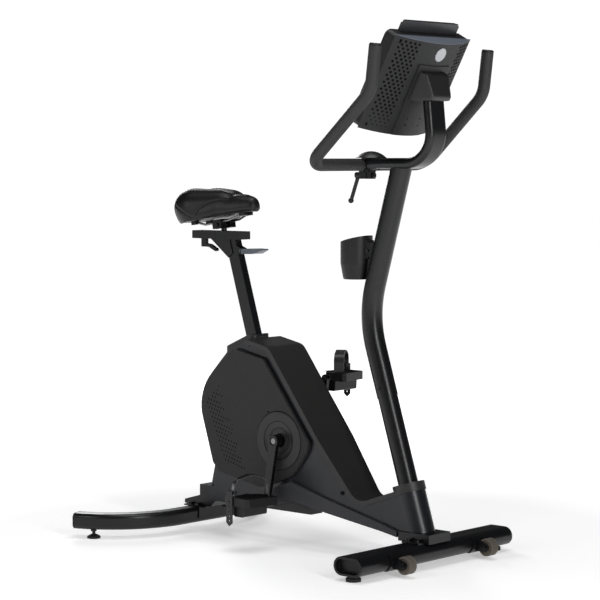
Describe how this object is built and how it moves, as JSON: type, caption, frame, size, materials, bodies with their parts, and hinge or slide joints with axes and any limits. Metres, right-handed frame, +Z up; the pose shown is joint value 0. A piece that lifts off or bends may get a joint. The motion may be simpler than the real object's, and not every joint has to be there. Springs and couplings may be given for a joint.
{
  "type": "upright exercise bike",
  "caption": "Upright exercise bike with moulded shroud, belt-driven magnetic flywheel, bent mast, console with tablet rest, tilting handlebar, bottle holder and adjustable padded saddle.",
  "frame": {"origin": "on the floor, under the middle of the bike's overall length and width", "axes": "+X forward, from the saddle to the console; +Y to the rider's left; +Z up"},
  "size_m": [1.1666, 0.762, 1.5088],
  "materials": {
    "frame_paint": "satin black powder coat",
    "crank_paint": "satin dark grey paint",
    "fastener_steel": "dark zinc plated",
    "bright_steel": "ground steel",
    "wheel_iron": "turned cast iron",
    "body_gloss": "bluish black, semi-gloss",
    "panel_matte": "charcoal, fine texture",
    "spine_satin": "grey, satin",
    "console_matte": "dark, textured",
    "trim_black": "black, matte",
    "rest_gloss": "dark grey, glossy",
    "lever_grey": "grey blue, satin",
    "window": "tinted clear window",
    "key_red": "red, matte",
    "key_grey": "grey, matte",
    "board_green": "green circuit board",
    "foot_rubber": "black rubber",
    "wheel_rubber": "grey-brown hard rubber",
    "foam": "matte black foam",
    "strap_rubber": "flexible black strap",
    "belt_rubber": "ribbed belt",
    "vinyl": "black vinyl, fine grain"
  },
  "bodies": {
    "frame": {"main_frame": "frame_paint", "front_stabilizer": "frame_paint", "rear_stabilizer": "frame_paint", "stabilizer_caps": "trim_black", "front_feet": "foot_rubber", "frame_bolts": "fastener_steel", "shroud_right": "body_gloss", "shroud_left": "body_gloss", "side_panel_right": "panel_matte", "side_panel_left": "panel_matte", "spine_cover": "spine_satin", "seat_post_collar": "body_gloss", "crank_covers": "trim_black", "cover_screws": "fastener_steel", "power_inlet": "trim_black", "lower_mast": "frame_paint", "upper_mast": "frame_paint", "bottle_holder": "trim_black", "bar_clamp": "frame_paint", "clamp_cover": "body_gloss", "console_back": "console_matte", "console_front": "console_matte", "console_boot": "trim_black", "display_lens": "window", "console_board": "board_green", "drive_belt": "belt_rubber", "frame_bearings": "bright_steel", "servo_motor": "trim_black"},
    "crank": {"crank_axle": "bright_steel", "crank_pulley": "trim_black", "crank_arms": "crank_paint", "pedal_spindles": "bright_steel"},
    "right_pedal": {"pedal_right": "trim_black", "strap_right": "strap_rubber"},
    "left_pedal": {"pedal_left": "trim_black", "strap_left": "strap_rubber"},
    "flywheel_rotor": {"flywheel": "wheel_iron", "flywheel_shaft": "bright_steel"},
    "brake": {"brake_magnets": "bright_steel"},
    "bars": {"handlebar": "frame_paint", "foam_grips": "foam", "bar_end_caps": "trim_black"},
    "bar_lever": {"clamp_lever": "trim_black"},
    "rest": {"tablet_rest": "rest_gloss"},
    "start_key": {"start_button": "key_red"},
    "up_key": {"up_button": "key_grey"},
    "down_key": {"down_button": "key_grey"},
    "right_wheel": {"transport_wheel_right": "wheel_rubber"},
    "left_wheel": {"transport_wheel_left": "wheel_rubber"},
    "right_foot": {"level_foot_right": "foot_rubber"},
    "left_foot": {"level_foot_left": "foot_rubber"},
    "seat_stem": {"seat_post": "frame_paint"},
    "post_lever": {"height_lever": "lever_grey"},
    "latch": {"latch_rod": "bright_steel"},
    "slider": {"seat_slider": "crank_paint"},
    "slider_grip": {"slider_lever": "trim_black"},
    "saddle": {"saddle_clamp": "crank_paint", "saddle_rails": "bright_steel", "saddle_base": "trim_black", "saddle_pad": "vinyl"}
  },
  "joints": [
    {"name": "flywheel_spin", "type": "hinge", "parent": "frame", "child": "flywheel_rotor", "pos_m": [-0.21072, 0, 0.35], "axis": [0, 1, 0], "continuous": true},
    {"name": "crank_spin", "type": "hinge", "parent": "frame", "child": "crank", "pos_m": [-0.00772, 0, 0.314], "axis": [0, 1, 0], "continuous": true},
    {"name": "right_pedal_spin", "type": "hinge", "parent": "crank", "child": "right_pedal", "pos_m": [-0.03478, 0, 0.14313], "axis": [0, 1, 0], "continuous": true},
    {"name": "left_pedal_spin", "type": "hinge", "parent": "crank", "child": "left_pedal", "pos_m": [0.01934, 0, 0.48487], "axis": [0, 1, 0], "continuous": true},
    {"name": "brake_swing", "type": "hinge", "parent": "frame", "child": "brake", "pos_m": [-0.26272, 0, 0.458], "axis": [0, 1, 0], "range_deg": [0, 8]},
    {"name": "handlebar_tilt", "type": "hinge", "parent": "frame", "child": "bars", "pos_m": [0.26728, 0, 1.115], "axis": [0, 1, 0], "range_deg": [-15, 25]},
    {"name": "bar_lever_turn", "type": "hinge", "parent": "frame", "child": "bar_lever", "pos_m": [0.23928, 0, 1.085], "axis": [1, 0, 0], "range_deg": [-90, 90]},
    {"name": "tablet_rest_slide", "type": "slide", "parent": "frame", "child": "rest", "axis": [0.4772, 0, 0.8788], "range_m": [-0.025, 0.02]},
    {"name": "start_press", "type": "slide", "parent": "frame", "child": "start_key", "axis": [0.8788, 0, -0.4772], "range_m": [0, 0.001], "stiffness_N_per_m": 400},
    {"name": "up_press", "type": "slide", "parent": "frame", "child": "up_key", "axis": [0.8788, 0, -0.4772], "range_m": [0, 0.001], "stiffness_N_per_m": 400},
    {"name": "down_press", "type": "slide", "parent": "frame", "child": "down_key", "axis": [0.8788, 0, -0.4772], "range_m": [0, 0.001], "stiffness_N_per_m": 400},
    {"name": "right_wheel_roll", "type": "hinge", "parent": "frame", "child": "right_wheel", "pos_m": [0.55828, -0.183, 0.035], "axis": [0, 1, 0], "continuous": true},
    {"name": "left_wheel_roll", "type": "hinge", "parent": "frame", "child": "left_wheel", "pos_m": [0.55828, 0.183, 0.035], "axis": [0, 1, 0], "continuous": true},
    {"name": "right_foot_turn", "type": "hinge", "parent": "frame", "child": "right_foot", "pos_m": [-0.52409, -0.33303, 0], "axis": [0, 0, 1], "continuous": true},
    {"name": "left_foot_turn", "type": "hinge", "parent": "frame", "child": "left_foot", "pos_m": [-0.52409, 0.33303, 0], "axis": [0, 0, 1], "continuous": true},
    {"name": "seat_height", "type": "slide", "parent": "frame", "child": "seat_stem", "axis": [-0.2924, 0, 0.9563], "range_m": [-0.18, 0.07]},
    {"name": "height_lever_lift", "type": "hinge", "parent": "seat_stem", "child": "post_lever", "pos_m": [-0.22454, 0, 0.858], "axis": [0, -1, 0], "range_deg": [0, 15], "stiffness_Nm_per_rad": 2},
    {"name": "latch_rod_slide", "type": "slide", "parent": "seat_stem", "child": "latch", "axis": [0.2924, 0, -0.9563], "range_m": [0, 0.004]},
    {"name": "saddle_slide", "type": "slide", "parent": "seat_stem", "child": "slider", "axis": [1, 0, 0], "range_m": [-0.012, 0.05]},
    {"name": "slider_lever_turn", "type": "hinge", "parent": "slider", "child": "slider_grip", "pos_m": [-0.38272, 0, 0.891], "axis": [0, 0, 1], "range_deg": [-110, 0]},
    {"name": "saddle_tilt", "type": "hinge", "parent": "slider", "child": "saddle", "pos_m": [-0.30172, 0, 0.933], "axis": [0, 1, 0], "range_deg": [-10, 10]}
  ],
  "couplings": [
    {"joint": "crank_spin", "follows": "flywheel_spin", "ratio": 0.17347},
    {"joint": "latch_rod_slide", "follows": "height_lever_lift", "m_per_rad": 0.015}
  ]
}
